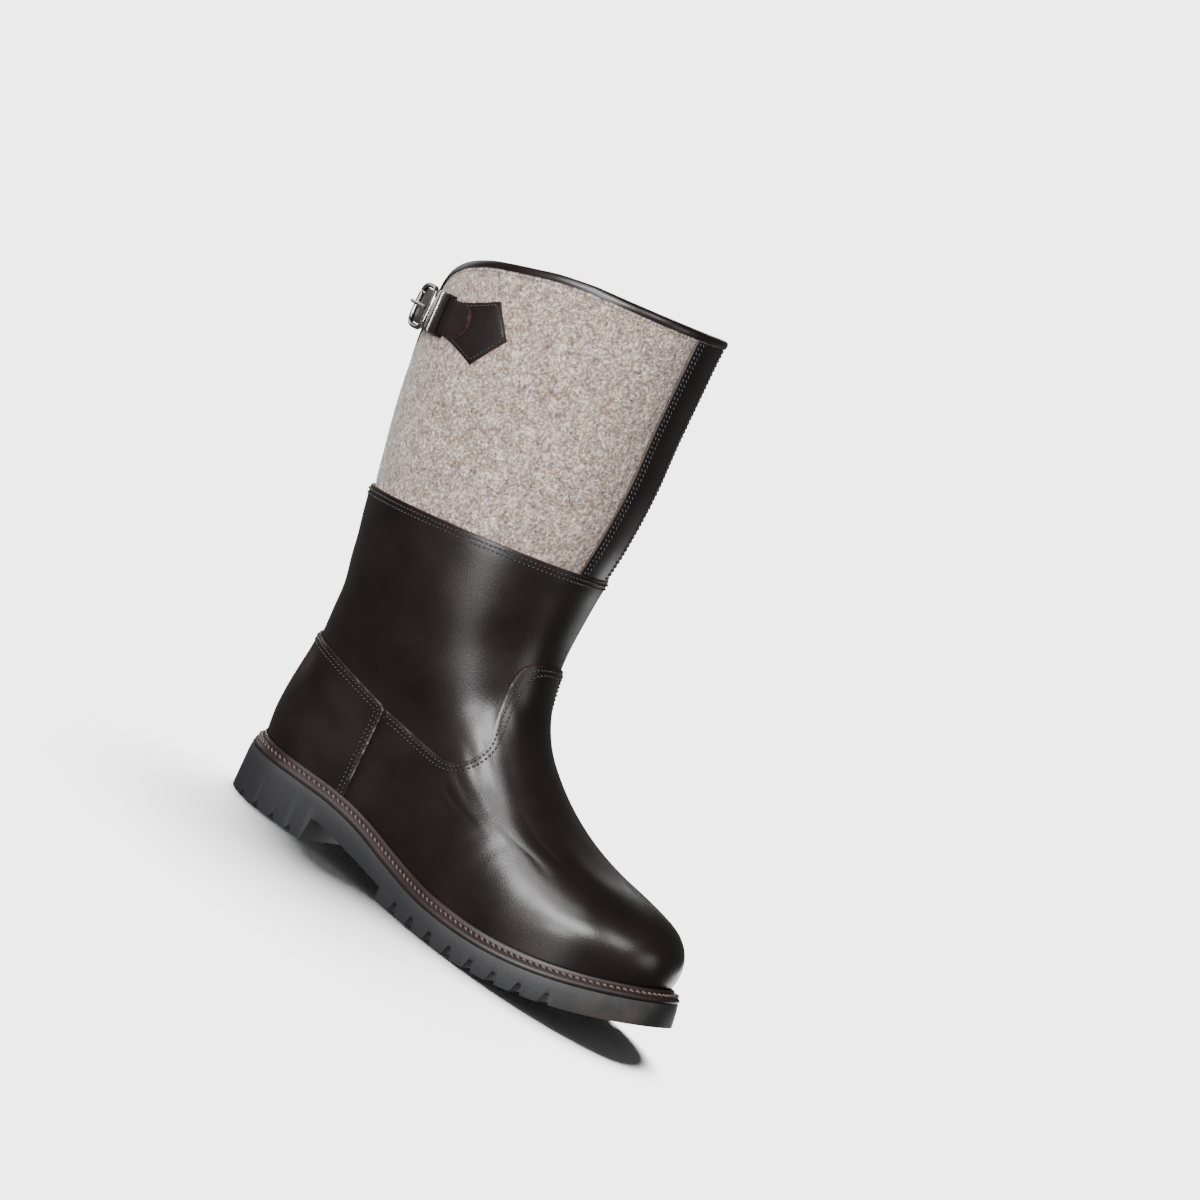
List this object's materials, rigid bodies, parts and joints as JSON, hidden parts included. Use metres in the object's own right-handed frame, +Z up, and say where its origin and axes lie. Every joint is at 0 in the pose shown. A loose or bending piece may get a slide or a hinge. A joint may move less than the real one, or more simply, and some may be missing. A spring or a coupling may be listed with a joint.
{
  "type": "felt and leather winter boot",
  "caption": "Right felt and leather winter boot: lugged rubber sole, storm welt, leather foot, felt shaft notched at the back with a strap and buckle.",
  "frame": {"origin": "on the floor, under the middle of the heel block", "axes": "+X from heel to toe, +Y towards the inner side of the foot, +Z up"},
  "size_m": [0.3267, 0.1216, 0.3446],
  "materials": {
    "outsole_rubber": "matte",
    "welt_leather": "satin",
    "insole_felt": "matte",
    "boot_leather": "satin",
    "shaft_felt": "matte",
    "strap_leather": "satin",
    "buckle_metal": "satin"
  },
  "bodies": {
    "root": {"outsole": "outsole_rubber", "welt": "welt_leather", "insole": "insole_felt", "upper": "boot_leather", "felt_shaft": "shaft_felt", "vamp": "boot_leather", "counter": "boot_leather", "front_strip": "boot_leather", "back_seam": "boot_leather", "collar_binding": "boot_leather", "buckle_tab": "strap_leather", "strap": "strap_leather", "buckle_frame": "buckle_metal", "buckle_prong": "buckle_metal", "buckle_keeper": "buckle_metal", "strap_loop": "strap_leather"}
  },
  "joints": []
}
